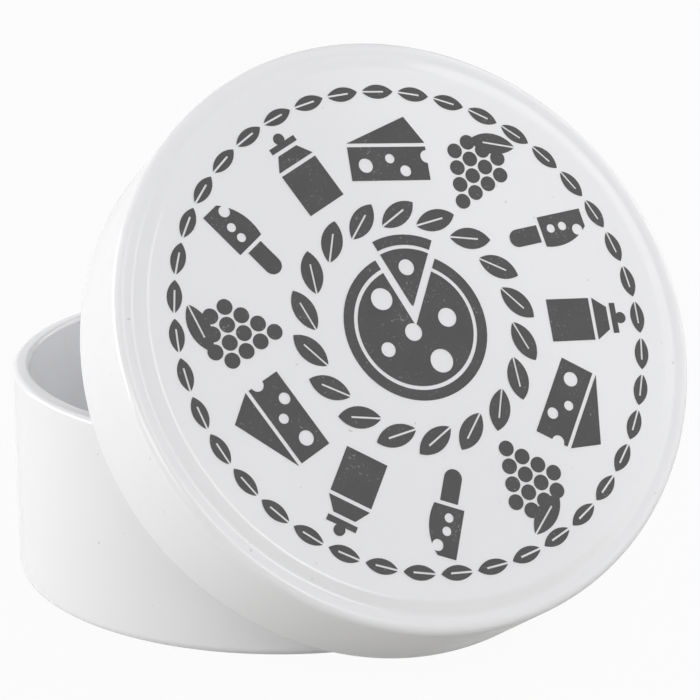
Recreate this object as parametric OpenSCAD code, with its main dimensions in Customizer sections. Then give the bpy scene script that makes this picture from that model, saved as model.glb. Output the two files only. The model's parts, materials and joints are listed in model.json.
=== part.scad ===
// Round glazed porcelain cheese box with an over-fitting lid.
// The lid stands on its edge in front of the box and leans back on the rim.
// The origin is the centre of the box's foot, +Z is up and the lid leans towards -Y.

/* [Box] */
// Outside diameter of the box
box_d = 130; // [110:1:160]
// Height of the box from foot to rim
box_h = 50.8; // [36:0.1:70]
// Thickness of the wall
box_wall = 3.9; // [3:0.1:6]
// Thickness of the floor, over the recess inside the foot ring
floor_t = 4.5; // [3:0.1:7]
// Fillet between the floor and the wall inside
floor_fillet = 4; // [1:0.5:8]
// Rounding of the rim's outer edge
rim_round = 1.4; // [0.8:0.1:1.8]
// Rounding of the rim's inner edge
rim_round_in = 1; // [0.5:0.1:1.1]
// Rounding of the wall's lower edge
heel_round = 2.2; // [1:0.1:4]
// Width of the ring that the box stands on
foot_w = 5; // [3:0.5:10]
// Depth of the recess inside the foot ring
foot_recess = 0.9; // [0.5:0.1:1.5]

/* [Lid] */
// Clearance all round between the box's wall and the lid's skirt
lid_clear = 0.6; // [0.3:0.1:1.5]
// Thickness of the skirt
skirt_t = 2.6; // [2:0.1:4.5]
// Height of the lid, from the skirt's lip to the raised field
lid_h = 29; // [20:0.1:36]
// Thickness of the top, at the raised field
top_t = 7; // [3:0.1:9]
// Rounding of the lid's outer top edge
edge_round = 1.4; // [0.8:0.1:2.5]
// Width of the ledge round the raised field, with the rounded edge
ledge_w = 4.1; // [3:0.1:8]
// Height of the field over the ledge
field_rise = 1.1; // [0.4:0.1:2]
// Width of the slope between the ledge and the field
slope_w = 2.7; // [1.5:0.1:4]
// Fillet between the lid's ceiling and skirt inside
ceiling_fillet = 2; // [0.5:0.1:4]

/* [Lean] */
// Angle of the lid's axis over the ground
lean_angle = 32.7; // [25:0.1:60]
// Clearance between the lid's ceiling and the rim it leans on
lean_gap = 0.3; // [0.2:0.05:1]
// Sideways shift of the lid's centre from the place where it touches the rim
lean_shift = 5.4; // [-8:0.1:8]

/* [Print] */
// Thickness of the fired print
print_t = 0.12; // [0.05:0.01:0.4]
// Bare margin between the print and the slope round the field
print_margin = 4.4; // [1:0.1:12]
// Turn of the print about the lid's axis
print_turn = -5; // [-180:1:180]
// Number of leaves in the print's border
border_count = 40; // [24:1:44]
// Number of large motifs in the middle band
motif_count = 12; // [4:4:12]
// Number of leaves in the wreath
wreath_count = 18; // [8:1:20]
// Angle of the piece cut from the wheel in the middle
cut_angle = 50; // [20:1:90]

/* [Hidden] */
$fn = 180;

box_r = box_d / 2;
box_in_r = box_r - box_wall;
floor_top = foot_recess + floor_t;

lid_in_r = box_r + lid_clear;
lid_r = lid_in_r + skirt_t;
lip_round = skirt_t / 2;
ceiling_h = lid_h - top_t;
ledge_h = lid_h - field_rise;
ledge_in_r = lid_r - ledge_w;
field_r = ledge_in_r - slope_w;

// The lid's lip stands on the ground, and its ceiling clears the rounded rim by lean_gap
rim_arc_r = box_r - rim_round;
rim_arc_h = box_h - rim_round;
lid_up = (lid_r - lip_round) * cos(lean_angle) - lip_round * sin(lean_angle) + lip_round;
lid_out = rim_arc_r
    - (ceiling_h - lean_gap - rim_round - (rim_arc_h - lid_up) * sin(lean_angle)) / cos(lean_angle);

// The print is drawn at drawn_r, then scaled to the field
print_r = field_r - print_margin;
drawn_r = 57;
print_scale = print_r / drawn_r;
// Width of the bare lines within a motif
bare = 0.9;
border_leaf = [7.6, 3.4];
motif_size = 19;
motif_mid_r = 42;
wreath_leaf = [10, 5];
wreath_mid_r = 26;
wreath_tilt = 34;
wheel_r = 17;

// Places what is modelled about the lid's own axis, lip at zero, where the lid leans
module in_lid_pose() {
    translate([lean_shift, -lid_out, lid_up])
        rotate([90 - lean_angle, 0, 0])
            children();
}

// A rectangle from one corner to the other
module area(r0, h0, r1, h1) {
    translate([r0, h0])
        square([r1 - r0, h1 - h0]);
}

module dot(x, y, radius) {
    translate([x, y])
        circle(radius);
}

// Half section of the box's outside: rounded heel, straight wall, rounded rim
module box_outline() {
    area(0, 0, box_r - heel_round, box_h - rim_round);
    area(0, heel_round, box_r, box_h - rim_round);
    dot(box_r - heel_round, heel_round, heel_round);
    area(0, box_h - rim_round, rim_arc_r, box_h);
    dot(rim_arc_r, rim_arc_h, rim_round);
}

// Half section of the box's inside, with the fillet at the floor
module box_hollow() {
    area(0, floor_top, box_in_r - floor_fillet, box_h + 1);
    area(0, floor_top + floor_fillet, box_in_r, box_h + 1);
    dot(box_in_r - floor_fillet, floor_top + floor_fillet, floor_fillet);
    difference() {
        area(box_in_r - 1, box_h - rim_round_in, box_in_r + rim_round_in, box_h + 1);
        dot(box_in_r + rim_round_in, box_h - rim_round_in, rim_round_in);
    }
}

module base() {
    color("white")
        rotate_extrude()
            difference() {
                box_outline();
                box_hollow();
                area(0, -1, box_r - heel_round - foot_w, foot_recess);
            }
}

// Half section of the lid's outside: rounded lip, skirt, rounded edge, ledge and raised field
module lid_outline() {
    edge_h = ledge_h - edge_round;
    area(0, 0, lid_r - lip_round, edge_h);
    dot(lid_r - lip_round, lip_round, lip_round);
    area(0, lip_round, lid_r, edge_h);
    area(0, lip_round, lid_r - edge_round, ledge_h);
    dot(lid_r - edge_round, edge_h, edge_round);
    field_section();
}

// Half section of the raised field, whose slope runs on below the ledge
module field_section() {
    under_h = ledge_h - field_rise;
    polygon([[0, under_h], [ledge_in_r + slope_w, under_h], [field_r, lid_h], [0, lid_h]]);
}

// Half section of the lid's inside, with the inner half of the lip's rounding
module lid_hollow() {
    area(0, -1, lid_in_r, ceiling_h - ceiling_fillet);
    area(0, -1, lid_in_r - ceiling_fillet, ceiling_h);
    dot(lid_in_r - ceiling_fillet, ceiling_h - ceiling_fillet, ceiling_fillet);
    difference() {
        area(lid_in_r - 1, -1, lid_in_r + lip_round, lip_round);
        dot(lid_in_r + lip_round, lip_round, lip_round);
    }
}

module lid() {
    color("white")
        in_lid_pose()
            rotate_extrude()
                difference() {
                    lid_outline();
                    lid_hollow();
                }
}

// Copies round the middle, each with its top turned outwards
module ring_of(count, radius) {
    for (k = [0 : count - 1])
        rotate(-k * 360 / count)
            translate([0, radius])
                children();
}

// A leaf that lies along X: two equal arcs that meet in points, with the vein left bare
module leaf(size) {
    arc_r = (size.x ^ 2 + size.y ^ 2) / size.y / 4;
    arc_off = arc_r - size.y / 2;
    vein_w = bare / 2;
    difference() {
        intersection() {
            dot(0, arc_off, arc_r);
            dot(0, -arc_off, arc_r);
        }
        area(-size.x, -vein_w / 2, size.x / 5, vein_w / 2);
    }
}

// A slice of a disc with its point at the middle, the same on both sides of +Y
module slice(radius, angle) {
    far = 2 * radius;
    intersection() {
        circle(radius);
        polygon([[0, 0], far * [sin(angle / 2), cos(angle / 2)], far * [-sin(angle / 2), cos(angle / 2)]]);
    }
}

// Takes the rind's bare line and the holes out of a wheel or of a slice of it
module wheel_marks(radius) {
    rind_r = radius * 0.86;
    difference() {
        children();
        difference() {
            circle(rind_r);
            circle(rind_r - bare);
        }
        dot(0, radius * 0.55, radius * 0.11);
        dot(-radius * 0.42, radius * 0.38, radius * 0.15);
        dot(radius * 0.46, radius * 0.1, radius * 0.13);
        dot(-radius * 0.05, -radius * 0.08, radius * 0.12);
        dot(radius * 0.28, -radius * 0.48, radius * 0.16);
        dot(-radius * 0.44, -radius * 0.3, radius * 0.1);
    }
}

// A wheel of cheese from above, with one piece drawn out of it
module wheel() {
    draw_out = wheel_r / 4;
    wheel_marks(wheel_r)
        difference() {
            circle(wheel_r);
            slice(wheel_r + 1, cut_angle);
        }
    translate([0, draw_out])
        wheel_marks(wheel_r)
            slice(wheel_r, cut_angle);
}

// A piece of cheese from the side: its cut face with holes, and its top over a bare line
module wedge(size) {
    face_h = size * 0.42;
    half_w = size / 2;
    difference() {
        area(-half_w, -face_h, half_w, 0);
        dot(-size * 0.3, -face_h * 0.55, size * 0.09);
        dot(size * 0.02, -face_h * 0.35, size * 0.06);
        dot(size * 0.2, -face_h * 0.72, size * 0.07);
        dot(half_w, -face_h * 0.3, size * 0.08);
    }
    polygon([[-half_w, bare], [half_w, bare], [size * 0.28, size * 0.38]]);
}

// A bunch of grapes: rows of berries that narrow downwards, under a leaf
module grapes(size) {
    berries = [1, 2, 3, 4, 3];
    pitch = size * 0.21;
    berry_r = pitch / 2 - bare / 4;
    for (row = [0 : len(berries) - 1], k = [1 : berries[row]])
        dot((k - (berries[row] + 1) / 2) * pitch, (row - 2.5) * pitch * 0.88, berry_r);
    translate([size * 0.08, size * 0.42])
        rotate(200)
            leaf([size * 0.6, size * 0.26]);
}

// A cheese knife: a handle with round ends, and a broad blade with slots and a forked tip
module knife(size) {
    handle_r = size * 0.11;
    blade_w = size * 0.4;
    tip = size * 0.52;
    rotate(-20) {
        dot(0, -tip + handle_r, handle_r);
        area(-handle_r, -tip + handle_r, handle_r, -size * 0.12);
        difference() {
            intersection() {
                area(-blade_w / 2, -size * 0.12 + bare, blade_w / 2, tip);
                dot(-blade_w, size * 0.1, blade_w * 1.5);
            }
            dot(blade_w * 0.12, tip * 0.78, size * 0.07);
            dot(-blade_w * 0.08, size * 0.06, size * 0.055);
            dot(-blade_w * 0.08, size * 0.22, size * 0.055);
        }
    }
}

// A milk can: a body, a shoulder and a lid, parted by bare lines
module milk_can(size) {
    body_w = size * 0.52;
    neck_w = size * 0.28;
    body_top = size * 0.08;
    shoulder_top = size * 0.3;
    area(-body_w / 2, -size * 0.48, body_w / 2, body_top);
    polygon([[-body_w / 2, body_top + bare], [body_w / 2, body_top + bare],
             [neck_w / 2, shoulder_top], [-neck_w / 2, shoulder_top]]);
    area(-body_w * 0.36, shoulder_top + bare, body_w * 0.36, size * 0.42);
    dot(0, size * 0.42 + bare, size * 0.07);
}

module motif(kind) {
    if (kind == 0) wedge(motif_size);
    if (kind == 1) grapes(motif_size);
    if (kind == 2) knife(motif_size);
    if (kind == 3) milk_can(motif_size);
}

module lid_artwork() {
    wheel();
    ring_of(wreath_count, wreath_mid_r)
        rotate(wreath_tilt)
            leaf(wreath_leaf);
    for (k = [0 : motif_count - 1])
        rotate(-k * 360 / motif_count)
            translate([0, motif_mid_r])
                motif(k % 4);
    ring_of(border_count, drawn_r - border_leaf.y / 2)
        leaf(border_leaf);
}

module lid_print() {
    color("dimgray")
        in_lid_pose()
            translate([0, 0, lid_h])
                rotate(print_turn)
                    scale(print_scale)
                        linear_extrude(print_t / print_scale)
                            lid_artwork();
}

base();
lid();
lid_print();
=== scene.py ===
import json
import math

import bmesh
import bpy
from mathutils import Matrix, Vector


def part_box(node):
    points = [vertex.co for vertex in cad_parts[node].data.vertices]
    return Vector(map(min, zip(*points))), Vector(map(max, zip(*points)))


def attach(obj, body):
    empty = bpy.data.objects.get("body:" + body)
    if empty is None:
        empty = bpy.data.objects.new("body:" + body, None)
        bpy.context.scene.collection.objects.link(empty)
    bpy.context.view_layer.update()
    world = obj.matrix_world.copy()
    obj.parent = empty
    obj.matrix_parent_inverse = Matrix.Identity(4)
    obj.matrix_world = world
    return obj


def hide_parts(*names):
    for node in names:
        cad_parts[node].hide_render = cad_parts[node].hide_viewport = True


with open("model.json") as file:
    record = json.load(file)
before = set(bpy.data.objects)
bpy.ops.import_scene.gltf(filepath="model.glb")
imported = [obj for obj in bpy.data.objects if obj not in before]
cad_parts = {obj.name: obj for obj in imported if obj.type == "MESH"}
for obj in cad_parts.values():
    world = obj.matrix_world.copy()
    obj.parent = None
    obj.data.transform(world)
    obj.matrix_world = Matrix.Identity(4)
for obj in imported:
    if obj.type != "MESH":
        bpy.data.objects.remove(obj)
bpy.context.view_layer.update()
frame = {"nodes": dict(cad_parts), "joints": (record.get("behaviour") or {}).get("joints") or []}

MM = 0.001

# The box's own sizes, in millimetres
WALL = 3.9
FLOOR = 5.4
FOOT_RING = 5.0
FOOT_RECESS = 0.9
RECESS_FILLET = 0.4
RING_ROUND = 0.45
HEEL_ROUND = 2.2
FLOOR_FILLET = 4.0
RIM_ROUND = 1.4
RIM_ROUND_IN = 1.0

# The lid's own sizes, in millimetres
SKIRT = 2.6
LIP_FLAT = 0.1
TOP = 7.0
EDGE_ROUND = 2.0
LEDGE_WIDTH = 4.1
LEDGE_DISH = 0.25
FIELD_RISE = 1.1
SLOPE_WIDTH = 2.7
LEDGE_FILLET = 2.8
FIELD_ROUND = 3.2
CEILING_FILLET = 2.0

# How finely the pieces are turned, and the radius in metres at which a section is swept
TURN_SEGMENTS = 288
ARC_STEPS = 10
SWEEP_RADIUS = 0.05
MERGE_DISTANCE = 1e-6

# Colours, as linear values with alpha
GLAZE_SHADES = ((0.800, 0.802, 0.821, 1), (0.832, 0.834, 0.850, 1))
PINHOLE_GREY = (0.62, 0.62, 0.63, 1)
BODY_SHADES = ((0.70, 0.69, 0.67, 1), (0.80, 0.79, 0.775, 1))
INK_SHADES = ((0.040, 0.038, 0.040, 1), (0.066, 0.063, 0.065, 1))
WORN_INK = (0.20, 0.20, 0.20, 1)
CLOTH = (0.40, 0.393, 0.37, 1)
WHITE = (1, 1, 1, 1)

# Scales of the patterns, per metre
GLAZE_CLOUD = 22.0
GLAZE_RIPPLE = 60.0
GLAZE_SPECK = 900.0
BODY_GRAIN = 2500.0
INK_CLOUD = 140.0
INK_SPECK = 1500.0

# Where the photograph was taken from, in metres and degrees
CAMERA_AT = Vector((-0.2331, -0.5270, 0.2258))
CAMERA_HEADING = 25.43
CAMERA_PITCH = -16.82
CAMERA_LENS = 128.5
SENSOR_WIDTH = 36


# Shader maths on sockets, so that an expression adds its own nodes
class Wire:
    def __init__(self, tree, socket):
        self.tree = tree
        self.socket = socket

    def math(self, operation, *others):
        return node(self.tree, "ShaderNodeMath", {"operation": operation}, [self, *others])

    def __add__(self, other):
        return self.math("ADD", other)

    __radd__ = __add__

    def __sub__(self, other):
        return self.math("SUBTRACT", other)

    def __rsub__(self, other):
        return node(self.tree, "ShaderNodeMath", {"operation": "SUBTRACT"}, [other, self])

    def __mul__(self, other):
        return self.math("MULTIPLY", other)

    __rmul__ = __mul__

    def between(self, low, high):
        # 0 at low, 1 at high, smooth in between
        smooth = {"interpolation_type": "SMOOTHSTEP"}
        return node(self.tree, "ShaderNodeMapRange", smooth, [self, low, high, 0.0, 1.0])


def node(tree, kind, settings, values, output=0):
    # A node of the given kind; values go to its sockets by name or in order, and one output comes back
    made = tree.nodes.new(kind)
    for name, value in settings.items():
        setattr(made, name, value)
    pairs = values.items() if isinstance(values, dict) else enumerate(values)
    for key, value in pairs:
        target = made.inputs[key]
        if isinstance(value, Wire):
            tree.links.new(value.socket, target)
        else:
            target.default_value = value
    return Wire(tree, made.outputs[output]) if made.outputs else None


def vector_math(tree, operation, *vectors, output="Vector"):
    return node(tree, "ShaderNodeVectorMath", {"operation": operation}, vectors, output=output)


def ray(tree, kind):
    return node(tree, "ShaderNodeLightPath", {}, {}, output=kind)


def mix_colour(tree, factor, low, high):
    # A colour mix's sockets share names with its other kinds, so they go by number
    return node(tree, "ShaderNodeMix", {"data_type": "RGBA"}, {0: factor, 6: low, 7: high}, output=2)


def noise(tree, place, scale, detail=2.0, roughness=0.5):
    values = {"Vector": place, "Scale": scale, "Detail": detail, "Roughness": roughness}
    return node(tree, "ShaderNodeTexNoise", {}, values)


def bump(tree, height, strength, distance):
    values = {"Strength": strength, "Distance": distance, "Height": height}
    return node(tree, "ShaderNodeBump", {}, values)


def new_material(name):
    material = bpy.data.materials.new(name)
    material.use_nodes = True
    tree = material.node_tree
    tree.nodes.clear()
    place = node(tree, "ShaderNodeTexCoord", {}, [], output="Object")
    return material, tree, place


def finish_material(tree, values):
    shader = node(tree, "ShaderNodeBsdfPrincipled", {}, values)
    node(tree, "ShaderNodeOutputMaterial", {}, {"Surface": shader})


def height_along(tree, place, origin, axis):
    # Height along a turned piece's axis
    to_origin = vector_math(tree, "SUBTRACT", place, tuple(origin))
    return vector_math(tree, "DOT_PRODUCT", to_origin, tuple(axis), output="Value")


def white_glaze(name, origin, axis, bare_low, bare_high):
    # White glaze over porcelain; the body is bare and matt where it stood in the kiln
    material, tree, place = new_material(name)
    height = height_along(tree, place, origin, axis)
    cloud = noise(tree, place, GLAZE_CLOUD, 3.0)
    speck = noise(tree, place, GLAZE_SPECK, 0.0)
    ripple = noise(tree, place, GLAZE_RIPPLE, 2.0)
    glaze = mix_colour(tree, cloud, *GLAZE_SHADES)
    pinhole = speck.between(0.86, 0.90)
    glaze = mix_colour(tree, pinhole, glaze, PINHOLE_GREY)
    bare = 1.0 - height.between(bare_low, bare_high)
    grain = noise(tree, place, BODY_GRAIN, 2.0)
    body = mix_colour(tree, grain, *BODY_SHADES)
    colour = mix_colour(tree, bare, glaze, body)
    rough = 0.09 + cloud * 0.03 + bare * 0.45
    relief = ripple * 0.6 + pinhole * -0.15 + grain * bare * 0.4
    normal = bump(tree, relief, 0.12, 0.0004)
    finish_material(tree, {
        "Base Color": colour,
        "Roughness": rough,
        "Normal": normal,
        "IOR": 1.52,
    })
    return material


def charcoal_print(name):
    # Dark print fired on the glaze, a little uneven, with worn specks
    material, tree, place = new_material(name)
    cloud = noise(tree, place, INK_CLOUD, 4.0, 0.6)
    speck = noise(tree, place, INK_SPECK, 3.0, 0.7)
    fresh = mix_colour(tree, cloud, *INK_SHADES)
    worn = (speck + cloud * 0.35).between(0.80, 0.92)
    colour = mix_colour(tree, worn, fresh, WORN_INK)
    rough = 0.30 + cloud * 0.12
    normal = bump(tree, speck, 0.10, 0.00005)
    finish_material(tree, {
        "Base Color": colour,
        "Roughness": rough,
        "Normal": normal,
        "IOR": 1.5,
    })
    return material


def rounded(corners):
    # Points of a half section from its corners, each given as radius, height and rounding
    points = [Vector(corners[0][:2])]
    for before, corner, after in zip(corners, corners[1:], corners[2:]):
        middle = Vector(corner[:2])
        to_before = (Vector(before[:2]) - middle).normalized()
        to_after = (Vector(after[:2]) - middle).normalized()
        half = to_before.angle(to_after) / 2
        reach = corner[2] / math.tan(half)
        centre = middle + (to_before + to_after).normalized() * (corner[2] / math.sin(half))
        start = middle + to_before * reach - centre
        end = middle + to_after * reach - centre
        sweep = start.angle_signed(end)
        for step in range(ARC_STEPS + 1):
            turn = Matrix.Rotation(-sweep * step / ARC_STEPS, 2)
            points.append(centre + turn @ start)
    points.append(Vector(corners[-1][:2]))
    return points


def turning_tree():
    # Turns a half section round its axis: the section is swept along a circle, and its poles close
    tree = bpy.data.node_groups.new("Turned porcelain", "GeometryNodeTree")
    face = tree.interface
    face.new_socket("Geometry", in_out="INPUT", socket_type="NodeSocketGeometry")
    segments = face.new_socket("Segments", in_out="INPUT", socket_type="NodeSocketInt")
    sweep = face.new_socket("Sweep radius", in_out="INPUT", socket_type="NodeSocketFloat")
    glaze = face.new_socket("Glaze", in_out="INPUT", socket_type="NodeSocketMaterial")
    face.new_socket("Geometry", in_out="OUTPUT", socket_type="NodeSocketGeometry")
    ids = {"segments": segments.identifier, "sweep": sweep.identifier, "glaze": glaze.identifier}
    given = tree.nodes.new("NodeGroupInput")
    section = tree.nodes.new("GeometryNodeMeshToCurve")
    circle = tree.nodes.new("GeometryNodeCurvePrimitiveCircle")
    swept = tree.nodes.new("GeometryNodeCurveToMesh")
    merge = tree.nodes.new("GeometryNodeMergeByDistance")
    smooth = tree.nodes.new("GeometryNodeSetShadeSmooth")
    real = tree.nodes.new("GeometryNodeRealizeInstances")
    paint = tree.nodes.new("GeometryNodeSetMaterial")
    result = tree.nodes.new("NodeGroupOutput")
    merge.inputs["Distance"].default_value = MERGE_DISTANCE
    link = tree.links.new
    link(given.outputs["Geometry"], section.inputs["Mesh"])
    link(given.outputs["Segments"], circle.inputs["Resolution"])
    link(given.outputs["Sweep radius"], circle.inputs["Radius"])
    link(circle.outputs["Curve"], swept.inputs["Curve"])
    link(section.outputs["Curve"], swept.inputs["Profile Curve"])
    link(swept.outputs["Mesh"], merge.inputs["Geometry"])
    link(merge.outputs["Geometry"], smooth.inputs["Geometry"])
    link(smooth.outputs["Geometry"], real.inputs["Geometry"])
    link(real.outputs["Geometry"], paint.inputs["Geometry"])
    link(given.outputs["Glaze"], paint.inputs["Material"])
    link(paint.outputs["Geometry"], result.inputs["Geometry"])
    return tree, ids


def turned(name, corners, place, material):
    # A turned piece from its half section; place puts its axis and foot where the frame has them.
    # A section lies in the XY plane, and the sweep stands its -Y up along Z
    section = bpy.data.meshes.new(name + "_section")
    points = [(p.x * MM - SWEEP_RADIUS, -p.y * MM, 0) for p in rounded(corners)]
    edges = [(k, k + 1) for k in range(len(points) - 1)]
    section.from_pydata(points, edges, [])
    source = bpy.data.objects.new(name + "_source", section)
    bpy.context.scene.collection.objects.link(source)
    tree, ids = turning_tree()
    turning = source.modifiers.new("Turning", "NODES")
    turning.node_group = tree
    turning[ids["segments"]] = TURN_SEGMENTS
    turning[ids["sweep"]] = SWEEP_RADIUS
    turning[ids["glaze"]] = material
    graph = bpy.context.evaluated_depsgraph_get()
    mesh = bpy.data.meshes.new_from_object(source.evaluated_get(graph))
    mesh.name = name
    bpy.data.objects.remove(source)
    shape = bmesh.new()
    shape.from_mesh(mesh)
    bmesh.ops.remove_doubles(shape, verts=shape.verts, dist=MERGE_DISTANCE)
    bmesh.ops.recalc_face_normals(shape, faces=shape.faces)
    shape.to_mesh(mesh)
    shape.free()
    mesh.transform(place)
    piece = bpy.data.objects.new(name, mesh)
    bpy.context.scene.collection.objects.link(piece)
    return piece


# The base stands on its foot ring at the frame's origin
base_low, base_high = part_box("base")
box_r = (base_high.x - base_low.x) / 2 / MM
box_h = base_high.z / MM
box_in_r = box_r - WALL
ring_in_r = box_r - HEEL_ROUND - FOOT_RING
base_corners = [
    (0, FOOT_RECESS, 0),
    (ring_in_r, FOOT_RECESS, RECESS_FILLET),
    (ring_in_r, 0, RING_ROUND),
    (box_r, 0, HEEL_ROUND),
    (box_r, box_h, RIM_ROUND),
    (box_in_r, box_h, RIM_ROUND_IN),
    (box_in_r, FLOOR, FLOOR_FILLET),
    (0, FLOOR, 0),
]

# The lid leans: its axis is the way it lifts off, and the rest is measured on its CAD node
lid_axis = Vector(frame["joints"][0]["axis"]).normalized()
lid_up = Vector((0, lid_axis.z, -lid_axis.y))
lid_points = [v.co for v in frame["nodes"]["lid"].data.vertices]
lid_low, lid_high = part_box("lid")
along = [p.dot(lid_axis) for p in lid_points]
upward = [p.dot(lid_up) for p in lid_points]
lid_r = (max(upward) - min(upward)) / 2 / MM
lid_h = (max(along) - min(along)) / MM
lid_origin = (
    Vector((1, 0, 0)) * (lid_low.x + lid_high.x) / 2
    + lid_up * (max(upward) + min(upward)) / 2
    + lid_axis * min(along)
)
lid_place = Matrix((
    (1, 0, 0, lid_origin.x),
    (0, lid_up.y, lid_axis.y, lid_origin.y),
    (0, lid_up.z, lid_axis.z, lid_origin.z),
    (0, 0, 0, 1),
))
lid_in_r = lid_r - SKIRT
lip_round = (SKIRT - LIP_FLAT) / 2
ceiling_h = lid_h - TOP
ledge_h = lid_h - FIELD_RISE
ledge_in_r = lid_r - LEDGE_WIDTH
field_r = ledge_in_r - SLOPE_WIDTH
lid_corners = [
    (0, ceiling_h, 0),
    (lid_in_r, ceiling_h, CEILING_FILLET),
    (lid_in_r, 0, lip_round),
    (lid_r, 0, lip_round),
    (lid_r, ledge_h + LEDGE_DISH, EDGE_ROUND),
    (ledge_in_r, ledge_h, LEDGE_FILLET),
    (field_r, lid_h, FIELD_ROUND),
    (0, lid_h, 0),
]

# The foot and the lip are bare of glaze up to these heights
base_glaze = white_glaze("base glaze", (0, 0, 0), (0, 0, 1), 0.2 * MM, 0.5 * MM)
lid_glaze = white_glaze("lid glaze", lid_origin, lid_axis, 0.05 * MM, 0.25 * MM)
ink = charcoal_print("charcoal print")

base = turned("porcelain_base", base_corners, Matrix.Identity(4), base_glaze)
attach(base, "base")
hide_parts("base")

lid = turned("porcelain_lid", lid_corners, lid_place, lid_glaze)
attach(lid, "lid")
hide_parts("lid")

fired_print = frame["nodes"]["lid_print"]
fired_print.data.materials.clear()
fired_print.data.materials.append(ink)


# The cloth under the object, in metres: its half width, and where the lid stands on it, the middle of
# the painted shadow in the mirrored white
CLOTH_HALF = 6.0
LID_STANDS_AT = (0.02, -0.075, 0)


def studio_floor():
    # White to the camera; the white that the glaze mirrors is painted darker beside the lid, a painted
    # shadow of the lid on the cloth
    mesh = bpy.data.meshes.new("studio_floor")
    corners = [(x * CLOTH_HALF, y * CLOTH_HALF, 0) for x, y in ((-1, -1), (1, -1), (1, 1), (-1, 1))]
    mesh.from_pydata(corners, [], [(0, 1, 2, 3)])
    floor = bpy.data.objects.new("studio_floor", mesh)
    bpy.context.scene.collection.objects.link(floor)
    material, tree, place = new_material("pale floor")
    seen = ray(tree, "Is Camera Ray") * 0.95
    # Painted shadow: the white that glossy rays see fades with nearness to where the lid stands
    to_lid = vector_math(tree, "SUBTRACT", place, LID_STANDS_AT)
    out_of_painted_shadow = vector_math(tree, "LENGTH", to_lid, output="Value").between(0.01, 0.09)
    mirrored_with_painted_shadow = ray(tree, "Is Glossy Ray") * (out_of_painted_shadow * 0.40 + 0.46)
    cloth = node(tree, "ShaderNodeBsdfPrincipled", {}, {"Base Color": CLOTH, "Roughness": 0.9})
    white = node(tree, "ShaderNodeEmission", {}, {"Color": WHITE, "Strength": 1.0})
    both = node(tree, "ShaderNodeMixShader", {}, [seen + mirrored_with_painted_shadow, cloth, white])
    node(tree, "ShaderNodeOutputMaterial", {}, {"Surface": both})
    mesh.materials.append(material)


# Light screens round the object: azimuth from +X and elevation of the middle, half width and
# half height, in degrees, and the light that each adds
SCREENS = {
    "left": (150, 7, 30, 8, 7.0),
    "right": (-10, 27, 42, 28, 1.3),
    "back": (95, 12, 30, 12, 0.6),
    "front": (-77, 38, 7, 19, 3.4),
    "beside the camera": (-140, 18, 17, 10, 4.2),
}
SCREEN_EDGE = 2.0
ROOM_LIGHT = 0.45


def studio_world():
    # White to the camera; pale screens in a dimmer room light the object
    world = bpy.data.worlds.new("studio")
    bpy.context.scene.world = world
    world.use_nodes = True
    tree = world.node_tree
    tree.nodes.clear()
    way = node(tree, "ShaderNodeTexCoord", {}, [], output="Generated")
    x, y, z = (node(tree, "ShaderNodeSeparateXYZ", {}, [way], output=axis) for axis in "XYZ")
    azimuth = y.math("ARCTAN2", x).math("DEGREES")
    elevation = z.math("ARCSINE").math("DEGREES")
    light = ROOM_LIGHT
    for around, up, half_width, half_height, strength in SCREENS.values():
        aside = (azimuth - around).math("WRAP", 180.0, -180.0).math("ABSOLUTE")
        above = (elevation - up).math("ABSOLUTE")
        across = aside.between(half_width + SCREEN_EDGE, half_width - SCREEN_EDGE)
        along = above.between(half_height + SCREEN_EDGE, half_height - SCREEN_EDGE)
        light = across * along * strength + light
    seen = ray(tree, "Is Camera Ray")
    strength = light * (1.0 - seen) + seen
    shown = node(tree, "ShaderNodeBackground", {}, {"Color": WHITE, "Strength": strength})
    node(tree, "ShaderNodeOutputWorld", {}, {"Surface": shown})


def soft_lamp(name, place, target, width, height, power):
    lamp = bpy.data.lights.new(name, "AREA")
    lamp.shape = "RECTANGLE"
    lamp.size = width
    lamp.size_y = height
    lamp.energy = power
    holder = bpy.data.objects.new(name, lamp)
    bpy.context.scene.collection.objects.link(holder)
    holder.location = place
    holder.rotation_euler = (Vector(target) - Vector(place)).to_track_quat("-Z", "Y").to_euler()


def photo_camera():
    lens = bpy.data.cameras.new("photo camera")
    lens.sensor_width = SENSOR_WIDTH
    lens.lens = CAMERA_LENS
    lens.clip_start = 0.01
    camera = bpy.data.objects.new("photo camera", lens)
    bpy.context.scene.collection.objects.link(camera)
    heading = math.radians(CAMERA_HEADING)
    pitch = math.radians(CAMERA_PITCH)
    level = math.cos(pitch)
    way = Vector((math.sin(heading) * level, math.cos(heading) * level, math.sin(pitch)))
    camera.location = CAMERA_AT
    camera.rotation_euler = way.to_track_quat("-Z", "Y").to_euler()
    bpy.context.scene.camera = camera


studio_floor()
studio_world()
soft_lamp("top softbox", (0.0, 0.1, 1.3), (0, -0.03, 0.06), 0.8, 0.8, 0.3)
photo_camera()
bpy.context.scene.view_settings.view_transform = "Standard"
